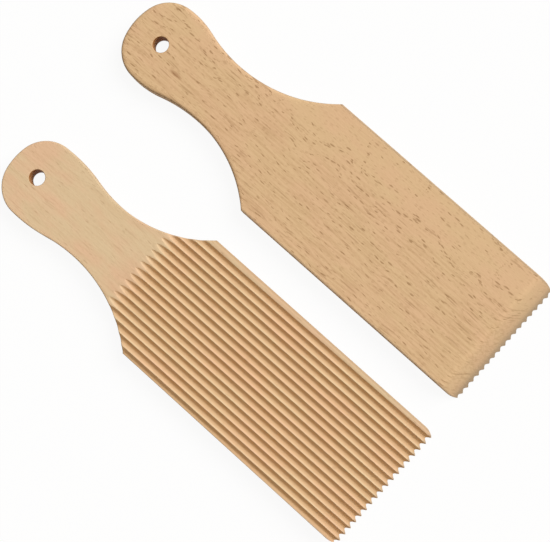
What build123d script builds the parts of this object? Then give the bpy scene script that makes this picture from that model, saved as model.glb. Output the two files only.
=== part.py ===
from build123d import *
import math
import os

# A pair of ridged pasta boards. Each is one piece of beech: a flat paddle with a round
# handle end, ganged flutes along one face of the blade, and a plain face behind.
# Stations are measured along a board from the tip of its handle.

# The plank
thickness = 9.0
blade_width = 62.0
arris_break = 0.5

# The handle: a rounded bulb, a waist, and two flares that end in the shoulders
bulb_station = 17.9
tip_radius = 29.0
bulb_corner_radius = 15.2
neck_width = 29.2
neck_station = 48.2
neck_radius = 66.9
steep_flare_radius = 60.4
slow_flare_radius = 65.9

# The hanging hole
hole_diameter = 7.0
hole_edge_break = 0.4

# The end of the blade: eased corners, and a bevel that leaves the flutes as teeth
corner_run = 5.0
corner_drop = 1.8
nose_blend_radius = 5.0
tip_land = 0.12

# The flutes, cut in one pass by a round-nosed gang
flute_count = 18
flute_pitch = 3.34
flute_land = 0.25
flute_depth = 1.15
flute_skew = 0.42
run_out_station = 79.9
gang_radius = 33.5

# What the hand left different on each board: its length, bulb and bevel, the drilled
# place, and the plain strip beside the flutes on the steep side
ribs_up_length = 212.3
ribs_up_bulb_width = 36.1
ribs_up_bevel_run = 16.5
ribs_up_hole_station = 13.4
ribs_up_hole_aside = 0.0
ribs_up_flute_margin = 2.4
plain_up_length = 209.9
plain_up_bulb_width = 38.1
plain_up_bevel_run = 7.4
plain_up_hole_station = 15.7
plain_up_hole_aside = 0.7
plain_up_flute_margin = 1.6

# How the pair lies on the table
gap_between_blades = 16.2
plain_up_set_back = 0.7

# How far every cutting shape runs past the wood
overrun = 2.0


def arc_about(centre, start, end):
    """The short arc from start to end round a centre."""
    middle = Vector(centre)
    spread = (Vector(start) - middle) + (Vector(end) - middle)
    reach = (Vector(start) - middle).length
    return ThreePointArc(start, middle + spread.normalized() * reach, end)


def toward(centre, through, reach):
    """The point at a given reach from a centre, on the line through another point."""
    step = (Vector(through) - Vector(centre)).normalized() * reach
    return Vector(centre) + step


def bulb_centres(bulb_width):
    """Centres and radius of the tangent arcs that round the handle's end."""
    bulb = bulb_width / 2
    run = neck_station - bulb_station
    drop = bulb - neck_width / 2
    turn = 2 * math.atan2(drop, run)
    side_radius = run / math.sin(turn) - neck_radius
    tip_centre = Vector(tip_radius, 0)
    side_centre = Vector(bulb_station, bulb - side_radius)
    from_tip = tip_radius - bulb_corner_radius
    from_side = side_radius - bulb_corner_radius
    apart = (side_centre - tip_centre).length
    along = (apart**2 + from_tip**2 - from_side**2) / (2 * apart)
    aside = math.sqrt(from_tip**2 - along**2)
    line = (side_centre - tip_centre).normalized()
    corner_centre = tip_centre + line * along + Vector(line.Y, -line.X) * aside
    return tip_centre, corner_centre, side_centre, side_radius


def flipped(point, side):
    return Vector(point.X, point.Y * side)


def draw_side(side, flare_radius, length, bulb_width):
    """One long edge of the paddle, from the handle's tip arc to the nose corner."""
    tip_centre, corner_centre, side_centre, side_radius = bulb_centres(bulb_width)
    neck = Vector(neck_station, neck_width / 2)
    neck_centre = neck + Vector(0, neck_radius)
    flare_centre = neck + Vector(0, flare_radius)
    rise = blade_width / 2 - neck_width / 2
    flare_run = math.sqrt(flare_radius**2 - (flare_radius - rise) ** 2)
    corner_radius = (corner_run**2 + corner_drop**2) / (2 * corner_drop)

    tip_end = toward(tip_centre, corner_centre, tip_radius)
    corner_end = toward(side_centre, corner_centre, side_radius)
    waist_start = toward(side_centre, neck_centre, side_radius)
    shoulder = neck + Vector(flare_run, rise)
    ease_start = Vector(length - corner_run, blade_width / 2)
    ease_centre = ease_start - Vector(0, corner_radius)
    nose = Vector(length, blade_width / 2 - corner_drop)

    def arc(centre, start, end):
        arc_about(flipped(centre, side), flipped(start, side), flipped(end, side))

    arc(corner_centre, tip_end, corner_end)
    arc(side_centre, corner_end, waist_start)
    arc(neck_centre, waist_start, neck)
    arc(flare_centre, neck, shoulder)
    Line(flipped(shoulder, side), flipped(ease_start, side))
    arc(ease_centre, ease_start, nose)
    return flipped(tip_end, side), flipped(nose, side)


def paddle_outline(length, bulb_width):
    with BuildSketch() as outline:
        with BuildLine():
            steep_tip, steep_nose = draw_side(1, steep_flare_radius, length, bulb_width)
            slow_tip, slow_nose = draw_side(-1, slow_flare_radius, length, bulb_width)
            ThreePointArc(slow_tip, (0, 0), steep_tip)
            Line(steep_nose, slow_nose)
        make_face()
    return outline.sketch


def side_profile(length, bevel_run):
    """The board seen from its side: flat faces, and the bevel under the blade's end."""
    heel = (length - bevel_run, 0)
    with BuildSketch(Plane.XZ) as profile:
        with BuildLine():
            Polyline(
                (-overrun, 0),
                heel,
                (length, thickness - tip_land),
                (length, thickness),
                (-overrun, thickness),
                close=True,
            )
        make_face()
        corner = profile.vertices().sort_by_distance(Plane.XZ.from_local_coords(heel))[0]
        fillet(corner, nose_blend_radius)
    return profile.sketch


def flute(across, length):
    """One pass of the round-nosed cutter: straight to the nose, rising at the handle end."""
    half_chord = (flute_pitch - flute_land) / 2
    nose_radius = (half_chord**2 + flute_depth**2) / (2 * flute_depth)
    centre_height = thickness - flute_depth + nose_radius
    rise_radius = gang_radius - nose_radius
    rise = math.acos(1 - (flute_depth + overrun) / rise_radius)
    floor_start = Vector(run_out_station, across, centre_height)
    lifted = floor_start + Vector(-math.sin(rise), 0, 1 - math.cos(rise)) * rise_radius
    with BuildPart() as cut:
        with BuildLine():
            far_end = Vector(length + overrun, across, centre_height)
            straight = Line(far_end, floor_start)
            TangentArc(floor_start, lifted, tangent=straight % 1)
        with BuildSketch(Plane(origin=far_end, z_dir=(-1, 0, 0))):
            Circle(nose_radius)
        sweep()
    return cut.part


def board(length, bulb_width, bevel_run, hole_station, hole_aside, flute_margin):
    """A finished board, handle tip at the origin, plain face down and flutes up."""
    blank = extrude(paddle_outline(length, bulb_width), thickness)
    long_edges = blank.edges().filter_by(Axis.Z, reverse=True)
    long_edges = long_edges.filter_by(lambda edge: abs(edge.center().X - length) > arris_break)
    blank = chamfer(long_edges, arris_break)
    reach = blade_width / 2 + overrun
    blank &= extrude(side_profile(length, bevel_run), reach, both=True)

    drilled = Pos(hole_station, hole_aside, thickness / 2)
    blank -= drilled * Cylinder(hole_diameter / 2, thickness + 2 * overrun)
    rims = blank.edges().filter_by(GeomType.CIRCLE)
    rims = rims.filter_by(lambda edge: abs(edge.radius - hole_diameter / 2) < hole_edge_break)
    blank = chamfer(rims, hole_edge_break)

    pivot = Pos((run_out_station + length) / 2, 0, 0)
    askew = pivot * Rot(Z=flute_skew) * pivot.inverse()
    last = blade_width / 2 - flute_margin - flute_pitch / 2
    return blank - [askew * flute(last - place * flute_pitch, length) for place in range(flute_count)]


def main():
    os.makedirs("parts", exist_ok=True)
    foremost = max(ribs_up_length, plain_up_length - plain_up_set_back)
    rearmost = min(0, -plain_up_set_back)
    middle = (foremost + rearmost) / 2
    aside = (blade_width + gap_between_blades) / 2

    ribs_up = board(
        ribs_up_length,
        ribs_up_bulb_width,
        ribs_up_bevel_run,
        ribs_up_hole_station,
        ribs_up_hole_aside,
        ribs_up_flute_margin,
    )
    ribs_up = Pos(-middle, -aside, 0) * ribs_up
    plain_up = board(
        plain_up_length,
        plain_up_bulb_width,
        plain_up_bevel_run,
        plain_up_hole_station,
        plain_up_hole_aside,
        plain_up_flute_margin,
    )
    plain_up = Pos(-middle - plain_up_set_back, aside, thickness) * Rot(X=180) * plain_up

    export_step(ribs_up, "parts/ribs_up_board.step")
    export_step(plain_up, "parts/plain_up_board.step")


main()
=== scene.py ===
import math

import bmesh
import bpy
from mathutils import Euler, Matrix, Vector


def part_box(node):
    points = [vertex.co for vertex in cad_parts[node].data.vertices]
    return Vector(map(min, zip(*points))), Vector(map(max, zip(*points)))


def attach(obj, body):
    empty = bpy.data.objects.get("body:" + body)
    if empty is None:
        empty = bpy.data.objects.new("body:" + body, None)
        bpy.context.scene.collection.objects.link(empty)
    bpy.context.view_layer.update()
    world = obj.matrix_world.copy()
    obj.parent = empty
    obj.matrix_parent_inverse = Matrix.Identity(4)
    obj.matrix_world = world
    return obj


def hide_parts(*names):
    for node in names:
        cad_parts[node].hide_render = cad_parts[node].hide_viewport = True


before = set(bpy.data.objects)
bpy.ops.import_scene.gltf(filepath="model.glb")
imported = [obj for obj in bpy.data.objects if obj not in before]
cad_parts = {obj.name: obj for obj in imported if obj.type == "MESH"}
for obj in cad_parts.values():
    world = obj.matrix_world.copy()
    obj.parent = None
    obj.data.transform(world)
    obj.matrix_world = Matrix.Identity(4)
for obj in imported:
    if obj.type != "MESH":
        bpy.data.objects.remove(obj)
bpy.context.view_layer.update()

# The ribs-up board: one plank of beech sawn to a paddle, its arrises sanded round.
# A gang of round-nosed cutters has ploughed the blade, lifting out toward the handle,
# and a bevel sanded under the blade's end leaves the flutes open as a row of teeth.
mm = 0.001
ribs_up_low, ribs_up_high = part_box("ribs_up_board")
thickness = ribs_up_high.z - ribs_up_low.z
blade_width = ribs_up_high.y - ribs_up_low.y

# Its outline: a rounded bulb, a waist, and two unequal flares that end in the shoulders of
# the blade, whose far corners are eased. Stations are measured from the handle's tip.
bulb_station = 17.9 * mm
tip_radius = 29.0 * mm
bulb_corner_radius = 15.2 * mm
neck_width = 29.2 * mm
neck_station = 48.2 * mm
neck_radius = 66.9 * mm
steep_flare_radius = 60.4 * mm
slow_flare_radius = 65.9 * mm
corner_run = 5.0 * mm
corner_drop = 1.8 * mm
ease_radius = (corner_run**2 + corner_drop**2) / (2 * corner_drop)


def shoulder_station(flare_radius):
    """Where a flare meets the straight side of the blade."""
    rise = (blade_width - neck_width) / 2
    return neck_station + math.sqrt(flare_radius**2 - (flare_radius - rise) ** 2)


steep_shoulder = shoulder_station(steep_flare_radius)
slow_shoulder = shoulder_station(slow_flare_radius)


def arc(centre, radius, start, end, steps, inward):
    """Points round an arc, its end left out, each with the direction into the wood."""
    first = math.atan2(start.y - centre.y, start.x - centre.x)
    turn = math.atan2(end.y - centre.y, end.x - centre.x) - first
    turn = (turn + math.pi) % (2 * math.pi) - math.pi
    points = []
    for place in range(steps):
        angle = first + turn * place / steps
        out = Vector((math.cos(angle), math.sin(angle)))
        points.append((centre + out * radius, -out * inward))
    return points


def handle_edge(bulb_width):
    """The handle's edge from its tip to the neck, on the +y side."""
    run = neck_station - bulb_station
    turn = 2 * math.atan2((bulb_width - neck_width) / 2, run)
    side_radius = run / math.sin(turn) - neck_radius
    tip_centre = Vector((tip_radius, 0))
    side_centre = Vector((bulb_station, bulb_width / 2 - side_radius))
    from_tip = tip_radius - bulb_corner_radius
    from_side = side_radius - bulb_corner_radius
    between = side_centre - tip_centre
    along = (between.length_squared + from_tip**2 - from_side**2) / (2 * between.length)
    aside = math.sqrt(from_tip**2 - along**2)
    line = between.normalized()
    corner_centre = tip_centre + line * along + Vector((line.y, -line.x)) * aside
    neck = Vector((neck_station, neck_width / 2))
    neck_centre = neck + Vector((0, neck_radius))

    tip = Vector((0, 0))
    tip_end = tip_centre + (corner_centre - tip_centre).normalized() * tip_radius
    corner_end = side_centre + (corner_centre - side_centre).normalized() * side_radius
    waist = side_centre + (neck_centre - side_centre).normalized() * side_radius
    edge = arc(tip_centre, tip_radius, tip, tip_end, steps=8, inward=1)
    edge += arc(corner_centre, bulb_corner_radius, tip_end, corner_end, steps=16, inward=1)
    edge += arc(side_centre, side_radius, corner_end, waist, steps=16, inward=1)
    edge += arc(neck_centre, neck_radius, waist, neck, steps=12, inward=-1)
    edge.append((neck, Vector((0, -1))))
    return edge


# Its arrises are sanded round. Under the handle the plain face's arris is handle_arris
# times as large, and it eases to the usual size just before the shoulders.
arris_radius = 0.5 * mm
arris_turns = (0, 20, 40, 60, 90)
handle_arris = 2.4
handle_arris_fade = 12.0 * mm
flat_rim = 0.4 * mm
wall_rim = 0.3 * mm
edge_distances = [arris_radius * (1 - math.cos(math.radians(turn))) for turn in arris_turns]
edge_distances.append(arris_radius + flat_rim)
crowded_reach = edge_distances[3]
least_wall = 2.2 * arris_radius


def rounded(distance):
    """How far an arris has dropped, a distance in from the edge."""
    if distance >= arris_radius:
        return 0
    return arris_radius - math.sqrt(arris_radius**2 - (arris_radius - distance) ** 2)


def plain_arris(x):
    """The plain face's arris against the usual one: sanded rounder where a hand holds it."""
    share = (steep_shoulder - x) / handle_arris_fade
    return 1 + (handle_arris - 1) * min(max(share, 0), 1)


# Its flutes: each floor is level as far as the run-out station, where the gang of cutters
# starts to lift out in an arc. The crests and the plain strip beside them are a little worn.
flute_count = 18
flute_pitch = 3.34 * mm
flute_land = 0.25 * mm
flute_depth = 1.15 * mm
flute_slope = math.tan(math.radians(0.42))
flute_power = 1.6
half_chord = (flute_pitch - flute_land) / 2
run_out_station = 79.9 * mm
gang_radius = 33.5 * mm
run_out_tip = run_out_station - math.sqrt(2 * gang_radius * flute_depth - flute_depth**2)
crest_softness = 0.3 * mm
least_softness_share = 0.01
strip_slope = 0.27


def cut_height(x, offset):
    """The height that the gang's cutter reaches, beside the middle of one flute."""
    sag = flute_depth * (abs(offset) / half_chord) ** flute_power
    if sag > 2 * flute_depth:
        return thickness + flute_depth
    lifted = max(0, run_out_station - x)
    return thickness - flute_depth + gang_radius - math.sqrt((gang_radius - sag) ** 2 - lifted**2)


def local_half_chord(x):
    """Half the width of a flute at a station: it narrows to nothing where the gang lifts out."""
    lifted = max(0, run_out_station - x)
    sag = gang_radius - math.hypot(gang_radius - flute_depth, lifted)
    if sag <= 0:
        return 0
    return half_chord * (sag / flute_depth) ** (1 / flute_power)


# Its end: the bevel starts in a blend on the plain face and leaves a thin land at the tip.
nose_blend_radius = 5.0 * mm
tip_land = 0.12 * mm


class Paddle:
    """The shape of one board in its own frame: handle tip at the origin, flutes up."""

    def __init__(self, length, bulb_width, bevel_run, hole_place, flute_margin):
        self.length = length
        self.bulb_width = bulb_width
        self.bevel_run = bevel_run
        self.hole_place = hole_place
        self.heel = length - bevel_run
        self.nose_start = length - corner_run
        self.bevel_rise = thickness - tip_land
        angle = math.atan2(self.bevel_rise, bevel_run)
        self.blend_start = self.heel - nose_blend_radius * math.tan(angle / 2)
        self.blend_end = self.blend_start + nose_blend_radius * math.sin(angle)
        self.pivot = (run_out_station + length) / 2
        self.last_flute = blade_width / 2 - flute_margin - flute_pitch / 2

    def half_width(self, x, side):
        """Half the blade's width at a station, on the steep side (+1) or the slow side (-1)."""
        flare_radius = steep_flare_radius if side > 0 else slow_flare_radius
        if x < shoulder_station(flare_radius):
            sag = flare_radius - math.sqrt(flare_radius**2 - (x - neck_station) ** 2)
            return neck_width / 2 + sag
        past = max(0, x - self.nose_start)
        return blade_width / 2 - ease_radius + math.sqrt(ease_radius**2 - past**2)

    def edge_slope(self, x, side):
        """How fast the blade widens along its length."""
        step = 0.05 * mm
        return (self.half_width(x + step, side) - self.half_width(x - step, side)) / (2 * step)

    def inset(self, x, side, distance):
        """The point a distance in from the blade's edge."""
        slope = self.edge_slope(x, side)
        square = math.hypot(1, slope)
        across = self.half_width(x, side) - distance / square
        return Vector((x + distance * slope / square, side * across))

    def room(self, x, y):
        """How far inside the blade's edge a point lies, measured square to the edge."""
        side = math.copysign(1, y)
        return (self.half_width(x, side) - abs(y)) / math.hypot(1, self.edge_slope(x, side))

    def top_reach(self, x, side):
        """How far in the arris's own points go: not across the first flute's crest."""
        crowded = side < 0 and x > slow_shoulder
        return crowded_reach if crowded else edge_distances[-1]

    def flute_middle(self, place, x):
        """The middle of a flute at a station: the flutes run a little askew to the blade."""
        from_last = (flute_count - 1 - place) * flute_pitch
        return self.last_flute - from_last + flute_slope * (x - self.pivot)

    def ribbed_height(self, x, y):
        """The ribbed face: the flat top, ploughed, its crests worn and its plain strip sloped."""
        place = round((y - self.flute_middle(0, x)) / flute_pitch)
        place = min(max(place, 0), flute_count - 1)
        cut = cut_height(x, y - self.flute_middle(place, x))
        deepest = thickness - cut_height(x, 0)
        soft = crest_softness * min(max(deepest / flute_depth, least_softness_share), 1)
        worn = max(soft - abs(thickness - cut), 0) ** 2 / (4 * soft)
        beside_flutes = y - self.flute_middle(flute_count - 0.5, x)
        return min(thickness, cut) - worn - strip_slope * max(beside_flutes, 0)

    def under_height(self, x):
        """The plain face, and the bevel that rises from it to the blade's end."""
        if x < self.blend_start:
            return 0
        if x < self.blend_end:
            along = x - self.blend_start
            return nose_blend_radius - math.sqrt(nose_blend_radius**2 - along**2)
        return self.bevel_rise * (x - self.heel) / self.bevel_run

    def flute_columns(self, x):
        """Places across the blade that follow the flutes' floors, walls and crests."""
        wall_steps = 6
        steps = range(-wall_steps, wall_steps + 1)
        widest_shoulder = 0.08 * mm
        chord = local_half_chord(x)
        shoulder = min((flute_pitch - 2 * chord) / 4, widest_shoulder)
        columns = []
        for place in range(flute_count):
            middle = self.flute_middle(place, x)
            columns += [middle - flute_pitch / 2, middle - chord - shoulder]
            columns += [middle + chord * step / wall_steps for step in steps]
            columns.append(middle + chord + shoulder)
        return columns

    def tooth_end(self, y):
        """Where a column of the ribbed face runs out: at the bevel, or at the blade's end."""
        over = self.ribbed_height(self.length, y)
        station = min(self.length, self.heel + self.bevel_run * over / self.bevel_rise)
        room = blade_width / 2 - abs(y)
        if room < corner_drop:
            eased = ease_radius**2 - (ease_radius - max(room, 0)) ** 2
            station = min(station, self.nose_start + math.sqrt(eased))
        return station

    def corner_end(self, side):
        """Where the blade's eased corner meets the bevel."""
        near = self.nose_start
        far = self.length
        halvings = 40
        for _ in range(halvings):
            middle = (near + far) / 2
            y = side * self.half_width(middle, side)
            if self.ribbed_height(middle, y) > self.under_height(middle):
                near = middle
            else:
                far = middle
        return far

    def rows(self):
        """Stations of the rows across the flutes, closest where the surface turns quickest."""
        run_out_step = 0.45 * mm
        shoulder_step = 0.8 * mm
        blade_step = 1.5 * mm
        blend_step = 0.4 * mm
        beside = 0.6 * mm
        runs = (
            (run_out_tip, run_out_station, run_out_step),
            (run_out_station, steep_shoulder, shoulder_step),
            (steep_shoulder, slow_shoulder, shoulder_step),
            (slow_shoulder, self.blend_start, blade_step),
            (self.blend_start, self.blend_end, blend_step),
            (self.blend_end, self.nose_start, blade_step),
        )
        stations = [run_out_tip - beside, slow_shoulder + beside, self.nose_start]
        for start, end, step in runs:
            count = math.ceil((end - start) / step)
            stations += [start + (end - start) * place / count for place in range(count)]
        return sorted(stations)


# Its hanging hole, drilled through the handle. The rim is only hole_arris times as round as
# an arris. Points of the skin nearer than same_place are one point.
hole_radius = 3.5 * mm
hole_arris = 0.5
same_place = 1e-7


class Skin:
    """One board's skin, laid down point by point and face by face."""

    def __init__(self, paddle):
        self.paddle = paddle
        self.points = []
        self.faces = []

    def add(self, x, y, z):
        self.points.append((x, y, z))
        return len(self.points) - 1

    def run(self, places, before=None):
        """Adds a run of points, and reuses a point where two of them fall together."""
        made = []
        last = before
        for place in places:
            if last is None or (Vector(place) - Vector(self.points[last])).length > same_place:
                last = self.add(*place)
            made.append(last)
        return made

    def face(self, *corners):
        """A face on its distinct corners, if it has any area."""
        kept = [corner for place, corner in enumerate(corners) if corner != corners[place - 1]]
        if len(kept) > 2:
            self.faces.append(kept)

    def strip(self, ahead, behind):
        for place in range(len(ahead) - 1):
            self.face(ahead[place], behind[place], behind[place + 1], ahead[place + 1])

    def edge_column(self, at, held=math.inf, shrink=1.0, plain=False, under_spread=1.0):
        """Points down one place on the edge: top face, arris, wall, arris, plain face."""

        def eased(distance, spread=1.0):
            place = at(distance * shrink * spread)
            over = thickness if plain else self.paddle.ribbed_height(place.x, place.y)
            under = min(self.paddle.under_height(place.x), over)
            drop = rounded(distance) * min(shrink * spread, (over - under) / least_wall)
            return (place.x, place.y, over - drop), (place.x, place.y, under + drop)

        top = self.run([eased(min(distance, held))[0] for distance in reversed(edge_distances)])
        crown = Vector(eased(0)[0])
        foot = Vector(eased(0, under_spread)[1])
        rim = min(wall_rim * shrink, (crown.z - foot.z) / 3)
        wall = self.run([(*crown.xy, crown.z - rim), (*foot.xy, foot.z + rim)], top[-1])
        low = self.run([eased(distance, under_spread)[1] for distance in edge_distances], wall[-1])
        return top + wall + low

    def blade_edge(self, x, side, shrink=1.0, plain=False):
        held = self.paddle.top_reach(x, side)
        return self.edge_column(
            lambda reach: self.paddle.inset(x, side, reach), held, shrink, plain, plain_arris(x)
        )

    def lay_handle(self):
        """The handle's edge and hanging hole, and its two flat faces round them."""

        def handle_column(point, into):
            return self.edge_column(
                lambda reach: point + into * reach, plain=True, under_spread=handle_arris
            )

        paddle = self.paddle
        edge = handle_edge(paddle.bulb_width)
        loop = list(reversed(edge))
        loop += [(Vector((point.x, -point.y)), Vector((into.x, -into.y))) for point, into in edge[1:]]
        columns = [handle_column(point, into) for point, into in loop]
        for column, following in zip(columns, columns[1:]):
            self.strip(column, following)

        hole_steps = 48
        falls = [(hole_arris * distance, hole_arris * rounded(distance)) for distance in edge_distances]
        heights = [(distance, thickness - fall) for distance, fall in reversed(falls)] + falls
        rings = []
        for distance, height in heights:
            ring = []
            for step in range(hole_steps):
                angle = math.pi - 2 * math.pi * step / hole_steps
                out = Vector((math.cos(angle), math.sin(angle))) * (hole_radius + distance)
                ring.append(self.add(*(paddle.hole_place + out), height))
            rings.append(ring)
        for ring, following in zip(rings, rings[1:]):
            self.strip(following + following[:1], ring + ring[:1])

        seams = [self.add(neck_station, 0, thickness), self.add(neck_station, 0, 0)]
        half = len(loop) // 2
        turn = hole_steps // 2
        for seam, end, rim in ((seams[0], 0, rings[0]), (seams[1], -1, rings[-1])):
            ring = [column[end] for column in columns]
            near = ring[: half + 1] + rim[: turn + 1] + [seam]
            far = ring[half:] + [seam] + rim[turn:] + rim[:1]
            self.face(*near)
            self.face(*far)
        return [columns[-1], columns[0]], seams

    def lay_neck(self, behind, seams):
        """The plain stretch between the handle and the tips of the flutes."""
        steps = 14
        short_of_tips = 2 * mm
        end = run_out_tip - short_of_tips
        for step in range(1, steps + 1):
            x = neck_station + (end - neck_station) * step / steps
            ahead = [self.blade_edge(x, side, plain=True) for side in (-1, 1)]
            for old, new in zip(behind, ahead):
                self.strip(new, old)
            for end_of_column, seam in ((0, seams[0]), (-1, seams[1])):
                corners = [behind[0][end_of_column], ahead[0][end_of_column]]
                corners += [ahead[1][end_of_column], behind[1][end_of_column]]
                self.face(*corners, *([seam] if step == 1 else []))
            behind = ahead
        return behind

    def ribbed_row(self, x, edges, shrink, station_of):
        """The points of one row across the flutes, between the two edges."""
        left, right = (column[0] for column in edges)
        paddle = self.paddle
        places = [(station_of(y), y) for y in paddle.flute_columns(x)]
        rooms = [paddle.room(station, y) for station, y in places]
        clearance = 0.02 * mm
        first, last = 0, len(places)
        for number, (station, y) in enumerate(places):
            if rooms[number] > paddle.top_reach(station, math.copysign(1, y)) * shrink + clearance:
                continue
            if y < 0:
                first = number + 1
            else:
                last = min(last, number)
        row = [left] * (first + 1)
        for (station, y), room in zip(places[first:last], rooms[first:last]):
            drop = shrink * rounded(room / shrink) if shrink > 0 else 0
            over = paddle.ribbed_height(station, y) - drop
            height = max(over, paddle.under_height(station))
            row += self.run([(station, y, height)], row[-1])
        row += [right] * (len(places) - last)
        return row + [right]

    def join_rows(self, behind, ahead):
        for old, new in zip(behind, ahead):
            self.strip(new, old)

    def lay_flutes(self, behind):
        """The ribbed blade, up to where its corners begin to turn in."""
        row = None
        for x in self.paddle.rows():
            edges = [self.blade_edge(x, side) for side in (-1, 1)]
            following = self.ribbed_row(x, edges, 1.0, lambda y: x)
            self.join_rows(behind, edges)
            if row is None:
                self.face(behind[0][0], *following, behind[1][0])
            else:
                self.strip(row, following)
            self.face(behind[1][-1], edges[1][-1], edges[0][-1], behind[0][-1])
            row = following
            behind = edges
        return behind, row

    def lay_teeth(self, behind, row):
        """The end of the blade, where each column runs on to its own place on the bevel."""
        paddle = self.paddle
        steps = 12
        crowding = 1.3
        start = paddle.nose_start
        left_feet = [behind[0][-1]]
        right_feet = [behind[1][-1]]
        for step in range(1, steps + 1):
            share = 1 - (1 - step / steps) ** crowding
            edges = []
            for side in (-1, 1):
                station = start + share * (paddle.corner_end(side) - start)
                edges.append(self.blade_edge(station, side, 1 - share))
            x = start + share * (paddle.length - start)
            following = self.ribbed_row(
                x, edges, 1 - share, lambda y: start + share * (paddle.tooth_end(y) - start)
            )
            self.join_rows(behind, edges)
            self.strip(row, following)
            left_feet.append(edges[0][-1])
            right_feet.append(edges[1][-1])
            behind = edges
            row = following
        feet = {edges[0][0]: edges[0][-1], edges[1][0]: edges[1][-1]}
        under = []
        for corner in row:
            x, y, z = self.points[corner]
            if corner not in feet:
                level = z - paddle.under_height(x) < same_place
                feet[corner] = corner if level else self.add(x, y, paddle.under_height(x))
            under.append(feet[corner])
        self.strip(row, under)
        self.face(*right_feet, *reversed(under), *reversed(left_feet))


def build_board(name, paddle):
    """A finished board's object, in the paddle's own frame."""
    crisp_turn = math.radians(42)
    skin = Skin(paddle)
    sides, seams = skin.lay_handle()
    sides = skin.lay_neck(sides, seams)
    sides, row = skin.lay_flutes(sides)
    skin.lay_teeth(sides, row)

    mesh = bpy.data.meshes.new(name)
    mesh.from_pydata(skin.points, [], skin.faces)
    shell = bmesh.new()
    shell.from_mesh(mesh)
    bmesh.ops.recalc_face_normals(shell, faces=shell.faces)
    shell.to_mesh(mesh)
    shell.free()
    mesh.shade_smooth()
    mesh.set_sharp_from_angle(angle=crisp_turn)
    board = bpy.data.objects.new(name, mesh)
    bpy.context.scene.collection.objects.link(board)
    return board


def node(tree, kind, feeds, **settings):
    """A shader node with its settings, and its inputs fed by sockets or plain values."""
    made = tree.nodes.new("ShaderNode" + kind)
    for label, value in settings.items():
        setattr(made, label, value)
    for place, feed in feeds.items():
        if isinstance(feed, bpy.types.NodeSocket):
            tree.links.new(feed, made.inputs[place])
        else:
            made.inputs[place].default_value = feed
    return made


def calc(tree, operation, *feeds):
    return node(tree, "Math", dict(enumerate(feeds)), operation=operation).outputs[0]


def vector_calc(tree, operation, first, second):
    return node(tree, "VectorMath", {0: first, 1: second}, operation=operation).outputs[0]


def ramp(tree, value, low, high, start=0.0, end=1.0):
    """A smooth step from start, at low, to end, at high."""
    feeds = {"Value": value, "From Min": low, "From Max": high, "To Min": start, "To Max": end}
    return node(tree, "MapRange", feeds, interpolation_type="SMOOTHSTEP").outputs[0]


def tint(tree, share, under, over):
    """One colour laid over another, as far as the share says."""
    return node(tree, "Mix", {0: share, 6: under, 7: over}, data_type="RGBA").outputs[2]


def cloud(tree, place, seed, per_metre, detail):
    """Soft noise about a half, with that many lumps to the metre each way."""
    spread = vector_calc(tree, "ADD", vector_calc(tree, "MULTIPLY", place, per_metre), seed)
    feeds = {"Vector": spread, "Scale": 1.0, "Detail": detail, "Roughness": 0.6}
    return node(tree, "TexNoise", feeds).outputs[0]


def new_group(name, inputs, outputs):
    """A node group: inputs without a value are places, and every output is a mask."""
    tree = bpy.data.node_groups.new(name, "ShaderNodeTree")
    for label, value in inputs.items():
        kind = "NodeSocketVector" if value is None else "NodeSocketFloat"
        socket = tree.interface.new_socket(label, in_out="INPUT", socket_type=kind)
        if value is not None:
            socket.default_value = value
    for label in outputs:
        tree.interface.new_socket(label, in_out="OUTPUT", socket_type="NodeSocketFloat")
    return tree, tree.nodes.new("NodeGroupInput").outputs, tree.nodes.new("NodeGroupOutput").inputs


# Beech as it is sawn: growth rings round a pith, each darkest in its late wood, short dark
# ray flecks that lie along the grain, and under them fine grain, patches and sanded nap.
late_wood_starts = (0.6, 0.8)
late_wood_ends = (0.86, 0.97)
flat_sawn_to_upright = (0.0, 0.8)
rings, given, out = new_group(
    "growth rings",
    {"Place": None, "Pith": None, "Seed": 0.0, "Spacing": 0.0022, "Wander": 0.0095},
    ["Late wood", "Steepness"],
)
drift = cloud(rings, given["Place"], given["Seed"], (48.0, 30.0, 30.0), 1.0)
from_pith = vector_calc(rings, "SUBTRACT", given["Place"], given["Pith"])
from_pith = vector_calc(rings, "MULTIPLY", from_pith, (0.0, 1.0, 1.0))
radius = node(rings, "VectorMath", {0: from_pith}, operation="LENGTH").outputs["Value"]
centred = calc(rings, "SUBTRACT", drift, 0.5)
wandered = calc(rings, "MULTIPLY_ADD", centred, given["Wander"], radius)
phase = calc(rings, "FRACT", calc(rings, "DIVIDE", wandered, given["Spacing"]))
darkening = ramp(rings, phase, *late_wood_starts)
late = calc(rings, "MULTIPLY", darkening, ramp(rings, phase, *late_wood_ends, 1.0, 0.0))
rings.links.new(late, out["Late wood"])
across = calc(rings, "ABSOLUTE", node(rings, "SeparateXYZ", {0: from_pith}).outputs[1])
steepness = ramp(rings, calc(rings, "DIVIDE", across, radius), *flat_sawn_to_upright)
rings.links.new(steepness, out["Steepness"])

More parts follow.
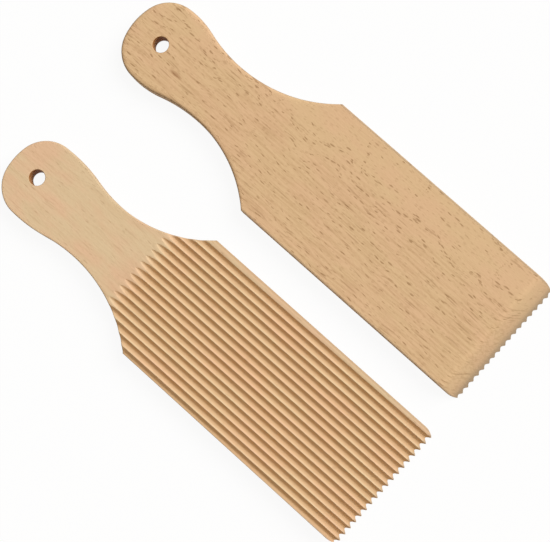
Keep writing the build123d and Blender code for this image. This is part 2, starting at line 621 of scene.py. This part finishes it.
fleck_lean = 0.8
fleck_bend = 5.0 * mm
fleck_sizes = (0.3, 0.5)
fleck_rim = (0.45, 1.0)
palest_fleck = 0.35
flecks, given, out = new_group(
    "ray flecks",
    {"Place": None, "Seed": 0.0, "Length": 0.0038, "Width": 0.0009, "Share": 0.3},
    ["Fleck"],
)
where = node(flecks, "SeparateXYZ", {0: given["Place"]}).outputs
drift = cloud(flecks, given["Place"], given["Seed"], (34.0, 30.0, 30.0), 2.0)
bend = calc(flecks, "SUBTRACT", drift, 0.5)
across = calc(flecks, "MULTIPLY_ADD", where[2], fleck_lean, where[1])
across = calc(flecks, "MULTIPLY_ADD", bend, fleck_bend, across)
lengthways = calc(flecks, "DIVIDE", where[0], given["Length"])
crossways = calc(flecks, "DIVIDE", across, given["Width"])
spread = node(flecks, "CombineXYZ", {0: lengthways, 1: crossways}).outputs[0]
feeds = {"Vector": vector_calc(flecks, "ADD", spread, given["Seed"]), "Scale": 1.0, "Randomness": 1.0}
cells = node(flecks, "TexVoronoi", feeds, voronoi_dimensions="2D")
chance = node(flecks, "SeparateColor", {0: cells.outputs["Color"]}).outputs
reach = ramp(flecks, chance[1], 0.0, 1.0, *fleck_sizes)
shape = ramp(flecks, calc(flecks, "DIVIDE", cells.outputs["Distance"], reach), *fleck_rim, 1.0, 0.0)
present = calc(flecks, "LESS_THAN", chance[0], given["Share"])
strength = calc(flecks, "MULTIPLY", present, ramp(flecks, chance[2], 0.0, 0.6, palest_fleck, 1.0))
flecks.links.new(calc(flecks, "MULTIPLY", shape, strength), out["Fleck"])


def mottle(name, label, per_metre, detail, low, high):
    """A group with one mask: soft noise, drawn out along the grain."""
    tree, given, out = new_group(name, {"Place": None, "Seed": 0.0}, [label])
    noise = cloud(tree, given["Place"], given["Seed"], per_metre, detail)
    tree.links.new(ramp(tree, noise, low, high), out[label])
    return tree


grain = mottle("straight grain", "Line", (60.0, 1000.0, 700.0), detail=3.0, low=0.4, high=0.68)
patches = mottle("colour patches", "Patch", (38.0, 85.0, 60.0), detail=2.5, low=0.36, high=0.64)
fuzz = mottle("sanded fuzz", "Nap", (620.0, 1500.0, 900.0), detail=2.0, low=0.3, high=0.7)

# Marks on the edges: dark end grain, which beech has; a lighter tan painted on the side faces as
# fill light where they stand in shade; and a grey-brown painted shade on the arrises, along the
# blade's long edges and on the tooth tips. A pair gives the turns of the surface between which a
# mark fades.
end_grain_turn = (0.25, 0.95)
side_turn = (0.1, 0.28)
arris_turn = (0.55, 0.97)
end_turn = (0.3, 0.6)
edge_shade_starts = blade_width / 2 - 1.1 * mm
edge_shade_full = blade_width / 2 - 0.55 * mm
tip_shade_full = 0.3 * mm
tip_shade_starts = 2.4 * mm
edges, given, out = new_group(
    "sawn edges",
    {"Place": None, "Normal": None, "Length": 0.2},
    ["End grain", "Side", "Arris", "Tooth tip"],
)
facing = node(edges, "SeparateXYZ", {0: given["Normal"]}).outputs
where = node(edges, "SeparateXYZ", {0: given["Place"]}).outputs
crosscut = ramp(edges, calc(edges, "ABSOLUTE", facing[0]), *end_grain_turn)
toward_tip = ramp(edges, where[2], 0.3 * thickness, thickness, 0.3, 1.0)
edges.links.new(calc(edges, "MULTIPLY", crosscut, toward_tip), out["End grain"])
upright = calc(edges, "ABSOLUTE", facing[2])
side_face = ramp(edges, upright, *side_turn, 1.0, 0.0)
edges.links.new(side_face, out["Side"])
unfluted = calc(edges, "LESS_THAN", where[0], run_out_tip)
unfluted = calc(edges, "MAXIMUM", unfluted, calc(edges, "LESS_THAN", where[2], thickness / 2))
unfluted = calc(edges, "MAXIMUM", unfluted, side_face)
turned = calc(edges, "MULTIPLY", ramp(edges, upright, *arris_turn, 1.0, 0.0), unfluted)
turned = calc(edges, "MULTIPLY", turned, ramp(edges, facing[0], *end_turn, 1.0, 0.0))
aside = calc(edges, "ABSOLUTE", where[1])
along_edge = ramp(edges, aside, edge_shade_starts, edge_shade_full)
edges.links.new(calc(edges, "MAXIMUM", turned, along_edge), out["Arris"])
short_of_end = calc(edges, "SUBTRACT", given["Length"], where[0])
edges.links.new(ramp(edges, short_of_end, tip_shade_full, tip_shade_starts, 1.0, 0.0), out["Tooth tip"])

# Painted shade in the flutes: a darker orange painted in toward their floors, and a darker brown
# painted on the wall of each flute that faces away from the window.
under_floors = thickness - 1.6 * flute_depth
at_floors = thickness - 1.1 * flute_depth
open_turn = (0.2, 0.45)
shaded_wall_turn = (-0.65, -0.15)
hollows, given, out = new_group(
    "flute hollows",
    {"Place": None, "Normal": None},
    ["Depth", "Shaded wall"],
)
where = node(hollows, "SeparateXYZ", {0: given["Place"]}).outputs
facing = node(hollows, "SeparateXYZ", {0: given["Normal"]}).outputs
over_floor = ramp(hollows, where[2], under_floors, at_floors)
in_flute = calc(hollows, "MULTIPLY", over_floor, calc(hollows, "GREATER_THAN", where[0], run_out_tip))
in_flute = calc(hollows, "MULTIPLY", in_flute, ramp(hollows, facing[2], *open_turn))
sunk = ramp(hollows, where[2], thickness - flute_depth, thickness, 1.0, 0.0)
hollows.links.new(calc(hollows, "MULTIPLY", sunk, in_flute), out["Depth"])
shaded_wall = ramp(hollows, facing[1], *shaded_wall_turn, 1.0, 0.0)
hollows.links.new(calc(hollows, "MULTIPLY", shaded_wall, in_flute), out["Shaded wall"])

# Painted shade in the hanging hole: a dark brown painted down the bore and just over its rim.
bore_shade_full = hole_radius + 0.03 * mm
bore_shade_ends = hole_radius + 0.2 * mm
bores, given, out = new_group("drilled hole", {"Place": None, "Centre": None}, ["Scorch"])
apart = vector_calc(bores, "SUBTRACT", given["Place"], given["Centre"])
apart = vector_calc(bores, "MULTIPLY", apart, (1.0, 1.0, 0.0))
apart = node(bores, "VectorMath", {0: apart}, operation="LENGTH").outputs["Value"]
bores.links.new(ramp(bores, apart, bore_shade_full, bore_shade_ends, 1.0, 0.0), out["Scorch"])

late_wood_tan = (0.55, 0.35, 0.18, 1.0)
grain_brown = (0.50, 0.31, 0.155, 1.0)
late_wood_brown = (0.33, 0.16, 0.07, 1.0)
fleck_brown = (0.27, 0.135, 0.05, 1.0)
nap_cream = (0.84, 0.62, 0.38, 1.0)
end_grain_brown = (0.42, 0.30, 0.18, 1.0)
# A lighter tan painted on the side faces: painted fill light for walls that stand in shade.
side_fill_tan = (0.85, 0.54, 0.27, 1.0)
# A grey-brown painted shade for the arrises, the blade's long edges and the tooth tips.
painted_shade_brown = (0.33, 0.25, 0.17, 1.0)
# A darker orange painted shade deep in the flutes.
flute_shade_orange = (0.55, 0.34, 0.17, 1.0)
# A darker brown painted shade on each flute wall that faces away from the window.
shaded_wall_brown = (0.67, 0.38, 0.16, 1.0)
# A dark brown painted shade down the bore and over its rim.
bore_shade_brown = (0.38, 0.15, 0.03, 1.0)


def beech(name, paddle, yellow, peach, seed, pith, figure, fleck_share, scar=None):
    """Bare sanded beech, figured through the whole thickness of the board."""
    wood = bpy.data.materials.new(name)
    wood.use_nodes = True
    tree = wood.node_tree
    where = node(tree, "TexCoord", {})
    place = where.outputs["Object"]
    normal = where.outputs["Normal"]

    def masks(group, **feeds):
        return node(tree, "Group", {"Place": place, **feeds}, node_tree=group).outputs

    cut = masks(edges, Normal=normal, Length=paddle.length)
    hollow = masks(hollows, Normal=normal)
    ring = masks(rings, Pith=pith, Seed=seed)
    patch = masks(patches, Seed=seed + 3)["Patch"]
    line = masks(grain, Seed=seed + 5)["Line"]
    nap = masks(fuzz, Seed=seed + 7)["Nap"]
    bore_shade = masks(bores, Centre=(*paddle.hole_place, 0.0))["Scorch"]

    fewest_flecks = 0.12 * fleck_share
    most_flecks = 1.9 * fleck_share
    crowd = ramp(tree, ring["Late wood"], 0.1, 0.9, fewest_flecks, most_flecks)
    off_flat = ramp(tree, ring["Steepness"], 0.0, 0.35, 0.35, 1.0)
    off_upright = ramp(tree, ring["Steepness"], 0.5, 0.9, 1.0, 0.4)
    crowd = calc(tree, "MULTIPLY", crowd, calc(tree, "MULTIPLY", off_flat, off_upright))
    fleck = masks(flecks, Seed=seed, Share=crowd)["Fleck"]
    fleck = calc(tree, "MULTIPLY", fleck, calc(tree, "SUBTRACT", 1.0, cut["End grain"]))
    fine = masks(flecks, Seed=seed + 11, Length=0.0026, Width=0.0008, Share=0.35)["Fleck"]
    most_streaks = 0.16
    rare = calc(tree, "MULTIPLY", ring["Steepness"], most_streaks)
    streak = masks(flecks, Seed=seed + 13, Length=0.012, Width=0.001, Share=rare)["Fleck"]

    late_share = ramp(tree, ring["Steepness"], 0.0, 1.0, 0.05, 0.16)
    line_share = ramp(tree, ring["Steepness"], 0.0, 1.0, 0.1, 0.5)
    figured = calc(tree, "MULTIPLY", ring["Late wood"], late_share)
    lined = calc(tree, "MULTIPLY", line, line_share)
    shaded_wall = calc(tree, "MULTIPLY", hollow["Shaded wall"], ramp(tree, nap, 0.0, 1.0, 1.0, 0.5))
    colour = tint(tree, patch, yellow, peach)
    for share, strength, over in (
        (figured, figure, late_wood_tan),
        (lined, figure, grain_brown),
        (nap, 0.12, nap_cream),
        (fine, 0.2 * figure, fleck_brown),
        (fleck, 0.6 * figure, fleck_brown),
        (streak, 0.35 * figure, fleck_brown),
        (cut["End grain"], 0.8, end_grain_brown),
        # Painted fill light on the side faces.
        (cut["Side"], 0.5, side_fill_tan),
        # Painted shade on the arrises, blade edges and tooth tips.
        (cut["Arris"], 0.45, painted_shade_brown),
        (cut["Tooth tip"], 0.7, painted_shade_brown),
        # Painted shade in the flutes and down the bore.
        (hollow["Depth"], 0.8, flute_shade_orange),
        (shaded_wall, 0.8, shaded_wall_brown),
        (bore_shade, 0.9, bore_shade_brown),
    ):
        colour = tint(tree, calc(tree, "MULTIPLY", share, strength), colour, over)
    if scar is not None:
        scar_size = (4.2 * mm, 1.1 * mm, 2.0 * mm)
        apart = vector_calc(tree, "SUBTRACT", place, (*scar, 0.0))
        apart = vector_calc(tree, "DIVIDE", apart, scar_size)
        apart = node(tree, "VectorMath", {0: apart}, operation="LENGTH").outputs["Value"]
        ragged = ramp(tree, line, 0.0, 0.6, 0.5, 0.9)
        marked = calc(tree, "MULTIPLY", ramp(tree, apart, 0.3, 1.0, 1.0, 0.0), ragged)
        colour = tint(tree, marked, colour, late_wood_brown)

    smoothest = 0.62
    roughest = 0.78
    fleck_sink = -0.5
    nap_rise = 0.5
    line_sink = -0.35 * figure
    shader = tree.nodes["Principled BSDF"]
    tree.links.new(colour, shader.inputs["Base Color"])
    tree.links.new(ramp(tree, nap, 0.0, 1.0, smoothest, roughest), shader.inputs["Roughness"])
    shader.inputs["Specular IOR Level"].default_value = 0.25
    height = calc(tree, "MULTIPLY_ADD", fleck, fleck_sink, calc(tree, "MULTIPLY", nap, nap_rise))
    height = calc(tree, "MULTIPLY_ADD", line, line_sink, height)
    relief = node(tree, "Bump", {"Height": height, "Strength": 0.4, "Distance": 0.1 * mm})
    tree.links.new(relief.outputs[0], shader.inputs["Normal"])
    return wood


ribs_up_length = ribs_up_high.x - ribs_up_low.x
ribs_up_shape = Paddle(
    ribs_up_length,
    bulb_width=36.1 * mm,
    bevel_run=16.5 * mm,
    hole_place=Vector((13.4, 0.0)) * mm,
    flute_margin=2.4 * mm,
)
ribs_up = build_board("ribs_up_paddle", ribs_up_shape)
ribs_up.location = (ribs_up_low.x, (ribs_up_low.y + ribs_up_high.y) / 2, ribs_up_low.z)
ribs_up.data.materials.append(
    beech(
        "ribs_up_beech",
        ribs_up_shape,
        yellow=(0.695, 0.53, 0.33, 1.0),
        peach=(0.73, 0.49, 0.315, 1.0),
        seed=4.0,
        pith=(0.0, 0.045, -0.02),
        figure=0.35,
        fleck_share=0.3,
    )
)
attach(ribs_up, "ribs_up")
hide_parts("ribs_up_board")

# The plain-up board: a second paddle from the same template, with a shorter, steeper bevel.
# It was sawn nearer the bark, so short dark ray flecks hang in garlands on one half of its
# plain face, where the growth rings lie flat, and close straight grain runs on the other.
plain_up_low, plain_up_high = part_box("plain_up_board")
plain_up_length = plain_up_high.x - plain_up_low.x
plain_up_shape = Paddle(
    plain_up_length,
    bulb_width=38.1 * mm,
    bevel_run=7.4 * mm,
    hole_place=Vector((15.7, 0.7)) * mm,
    flute_margin=1.6 * mm,
)
plain_up = build_board("plain_up_paddle", plain_up_shape)
plain_up.location = (plain_up_low.x, (plain_up_low.y + plain_up_high.y) / 2, plain_up_high.z)
plain_up.rotation_euler = (math.pi, 0, 0)
plain_up.data.materials.append(
    beech(
        "plain_up_beech",
        plain_up_shape,
        yellow=(0.69, 0.478, 0.269, 1.0),
        peach=(0.705, 0.465, 0.273, 1.0),
        seed=9.0,
        pith=(0.0, -0.023, -0.028),
        figure=1.0,
        fleck_share=0.58,
        scar=Vector((29.0, 6.0)) * mm,
    )
)
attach(plain_up, "plain_up")
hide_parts("plain_up_board")

# The table: a flat white top that runs on past every view. It looks paper-white to the
# camera, as the photograph's ground does, and keeps a faint shadow of the boards.
table_reach = 20.0
paper_glow = 0.93
white = bpy.data.materials.new("white_table")
white.use_nodes = True
tree = white.node_tree
shader = tree.nodes["Principled BSDF"]
shader.inputs["Base Color"].default_value = (0.85, 0.85, 0.85, 1)
shader.inputs["Roughness"].default_value = 0.9
shader.inputs["Specular IOR Level"].default_value = 0.0
glow = node(tree, "Emission", {"Color": (1, 1, 1, 1), "Strength": 1.0})
path = node(tree, "LightPath", {}).outputs
seen = calc(tree, "MAXIMUM", path["Is Camera Ray"], path["Is Glossy Ray"])
seen = calc(tree, "MAXIMUM", seen, path["Is Transmission Ray"])
seen = calc(tree, "MULTIPLY", seen, paper_glow)
mixed = node(tree, "MixShader", {0: seen, 1: shader.outputs[0], 2: glow.outputs[0]})
tree.links.new(mixed.outputs[0], tree.nodes["Material Output"].inputs[0])

floor_mesh = bpy.data.meshes.new("table_top")
corners = [(-table_reach, -table_reach, 0), (table_reach, -table_reach, 0)]
corners += [(table_reach, table_reach, 0), (-table_reach, table_reach, 0)]
floor_mesh.from_pydata(corners, [], [(0, 1, 2, 3)])
floor_mesh.materials.append(white)
floor = bpy.data.objects.new("table_top", floor_mesh)
bpy.context.scene.collection.objects.link(floor)

# The light: one big soft window on the far side of the pair rakes across the flutes, and
# a warm pale room fills in behind it. Together they render a colour about as it is written.
world = bpy.data.worlds.new("studio")
world.use_nodes = True
room = world.node_tree.nodes["Background"].inputs
room["Color"].default_value = (1, 0.83, 0.62, 1)
room["Strength"].default_value = 0.24
bpy.context.scene.world = world

window_data = bpy.data.lights.new("window", "SUN")
window_data.angle = math.radians(45)
window_data.energy = 3.3
window = bpy.data.objects.new("window", window_data)
toward_window = Vector((0.25, 0.64, 0.73))
window.rotation_euler = toward_window.to_track_quat("Z", "Y").to_euler()
bpy.context.scene.collection.objects.link(window)

# The camera: it looks almost straight down from a metre above the table, turned so that
# the handles point up and left. Its place was fitted to the outlines in the photograph.
photo_focal = 2400
photo_width = 550
camera_data = bpy.data.cameras.new("camera")
camera_data.sensor_width = 36
camera_data.lens = photo_focal / photo_width * camera_data.sensor_width
camera = bpy.data.objects.new("camera", camera_data)
camera.location = Vector((171.3, -10.5, 1004.0)) * mm
camera.rotation_mode = "YXZ"
fitted_turn = [math.radians(angle) for angle in (6.45, 6.51, 41.31)]
camera.rotation_euler = Euler(fitted_turn, "YXZ")
bpy.context.scene.collection.objects.link(camera)
bpy.context.scene.camera = camera
bpy.context.scene.view_settings.view_transform = "Standard"
